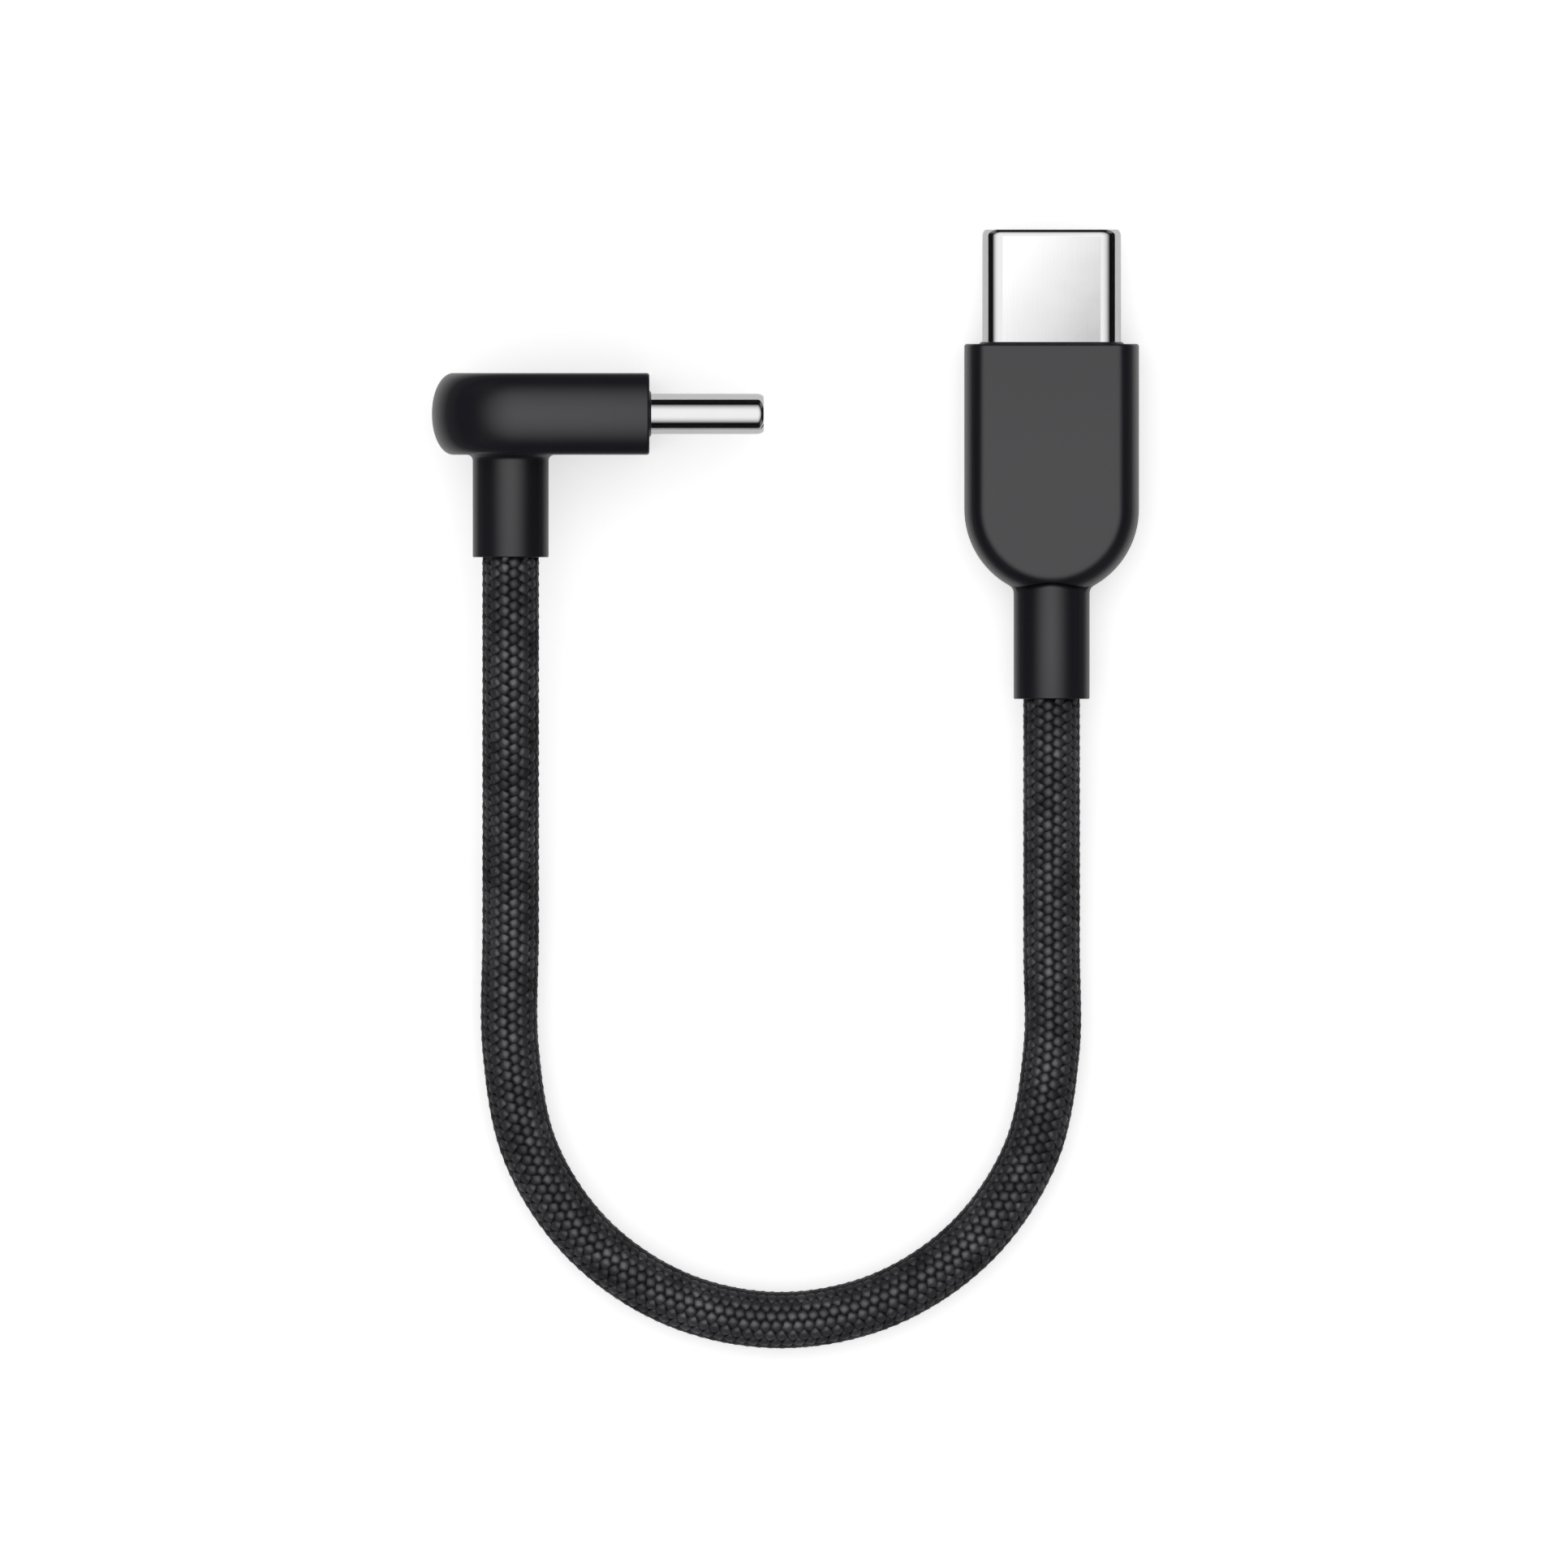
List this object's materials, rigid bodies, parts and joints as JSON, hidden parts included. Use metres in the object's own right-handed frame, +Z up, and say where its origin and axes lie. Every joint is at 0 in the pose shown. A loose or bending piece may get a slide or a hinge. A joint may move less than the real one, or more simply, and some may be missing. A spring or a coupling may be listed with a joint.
{
  "type": "charging cable",
  "caption": "Short braided charging cable with a straight plug on one end and a right-angle plug on the other, both with reversible stadium-shaped metal shells.",
  "frame": {"origin": "middle of the two plugs' common box, on the table they lie on", "axes": "+X from the angled plug to the straight plug, +Y the way the straight plug goes into its socket, +Z up"},
  "size_m": [0.0421, 0.0665, 0.0104],
  "materials": {
    "nickel_shell": "polished nickel plate",
    "contact_gold": "gold-plated spring metal",
    "spring_steel": "stamped spring steel",
    "tinned_metal": "tinned",
    "housing_plastic": "moulded, fine matt",
    "moulded_plastic": "moulded, satin matt",
    "board_laminate": "coated laminate",
    "capacitor_ceramic": "fired ceramic",
    "braid_fabric": "braided polyester yarn",
    "jacket_rubber": "smooth",
    "wire_red": "smooth",
    "wire_black": "smooth",
    "wire_green": "smooth",
    "wire_blue": "smooth",
    "wire_white": "smooth"
  },
  "bodies": {
    "cable": {"angled_shell": "nickel_shell", "angled_contact_housing": "housing_plastic", "angled_mid_plate": "spring_steel", "angled_circuit_board": "board_laminate", "angled_bypass_capacitor": "capacitor_ceramic", "angled_rear_shield": "tinned_metal", "angled_body": "moulded_plastic", "angled_crimp_ferrule": "tinned_metal", "angled_strain_relief": "moulded_plastic", "straight_shell": "nickel_shell", "straight_contact_housing": "housing_plastic", "straight_mid_plate": "spring_steel", "straight_circuit_board": "board_laminate", "straight_bypass_capacitor": "capacitor_ceramic", "straight_rear_shield": "tinned_metal", "straight_body": "moulded_plastic", "straight_crimp_ferrule": "tinned_metal", "straight_strain_relief": "moulded_plastic", "cord_braided_sleeve": "braid_fabric", "cord_jacket": "jacket_rubber", "cord_shield_layer": "tinned_metal", "cord_power_wire": "wire_red", "cord_ground_wire": "wire_black", "cord_data_plus_wire": "wire_green", "cord_config_wire": "wire_blue", "cord_data_minus_wire": "wire_white"},
    "angled_upper_contact_row": {"angled_upper_contact_ground_1": "contact_gold", "angled_upper_contact_power_1": "contact_gold", "angled_upper_contact_config": "contact_gold", "angled_upper_contact_data_plus": "contact_gold", "angled_upper_contact_data_minus": "contact_gold", "angled_upper_contact_power_2": "contact_gold", "angled_upper_contact_ground_2": "contact_gold"},
    "angled_lower_contact_row": {"angled_lower_contact_ground_1": "contact_gold", "angled_lower_contact_power_1": "contact_gold", "angled_lower_contact_connector_power": "contact_gold", "angled_lower_contact_power_2": "contact_gold", "angled_lower_contact_ground_2": "contact_gold"},
    "angled_right_latch": {"angled_latch_right": "spring_steel"},
    "angled_left_latch": {"angled_latch_left": "spring_steel"},
    "straight_upper_contact_row": {"straight_upper_contact_ground_1": "contact_gold", "straight_upper_contact_power_1": "contact_gold", "straight_upper_contact_config": "contact_gold", "straight_upper_contact_data_plus": "contact_gold", "straight_upper_contact_data_minus": "contact_gold", "straight_upper_contact_power_2": "contact_gold", "straight_upper_contact_ground_2": "contact_gold"},
    "straight_lower_contact_row": {"straight_lower_contact_ground_1": "contact_gold", "straight_lower_contact_power_1": "contact_gold", "straight_lower_contact_connector_power": "contact_gold", "straight_lower_contact_power_2": "contact_gold", "straight_lower_contact_ground_2": "contact_gold"},
    "straight_right_latch": {"straight_latch_right": "spring_steel"},
    "straight_left_latch": {"straight_latch_left": "spring_steel"}
  },
  "joints": [
    {"name": "angled_upper_contacts_flex", "type": "hinge", "parent": "cable", "child": "angled_upper_contact_row", "pos_m": [-0.01071, 0.00347, 0.0052], "axis": [0, 0, 1], "range_deg": [0, 0.8], "stiffness_Nm_per_rad": 1.5},
    {"name": "angled_lower_contacts_flex", "type": "hinge", "parent": "cable", "child": "angled_lower_contact_row", "pos_m": [-0.01071, 0.00248, 0.0052], "axis": [0, 0, -1], "range_deg": [0, 0.8], "stiffness_Nm_per_rad": 1.1},
    {"name": "angled_right_latch_flex", "type": "hinge", "parent": "cable", "child": "angled_right_latch", "pos_m": [-0.01071, 0.00298, 0.00873], "axis": [0, -1, 0], "range_deg": [0, 2], "stiffness_Nm_per_rad": 0.65},
    {"name": "angled_left_latch_flex", "type": "hinge", "parent": "cable", "child": "angled_left_latch", "pos_m": [-0.01071, 0.00298, 0.00168], "axis": [0, 1, 0], "range_deg": [0, 2], "stiffness_Nm_per_rad": 0.65},
    {"name": "straight_upper_contacts_flex", "type": "hinge", "parent": "cable", "child": "straight_upper_contact_row", "pos_m": [0.01583, 0.00455, 0.00293], "axis": [1, 0, 0], "range_deg": [0, 0.8], "stiffness_Nm_per_rad": 1.5},
    {"name": "straight_lower_contacts_flex", "type": "hinge", "parent": "cable", "child": "straight_lower_contact_row", "pos_m": [0.01583, 0.00455, 0.00194], "axis": [-1, 0, 0], "range_deg": [0, 0.8], "stiffness_Nm_per_rad": 1.1},
    {"name": "straight_right_latch_flex", "type": "hinge", "parent": "cable", "child": "straight_right_latch", "pos_m": [0.01936, 0.00455, 0.00244], "axis": [0, 0, -1], "range_deg": [0, 2], "stiffness_Nm_per_rad": 0.65},
    {"name": "straight_left_latch_flex", "type": "hinge", "parent": "cable", "child": "straight_left_latch", "pos_m": [0.0123, 0.00455, 0.00244], "axis": [0, 0, 1], "range_deg": [0, 2], "stiffness_Nm_per_rad": 0.65}
  ]
}
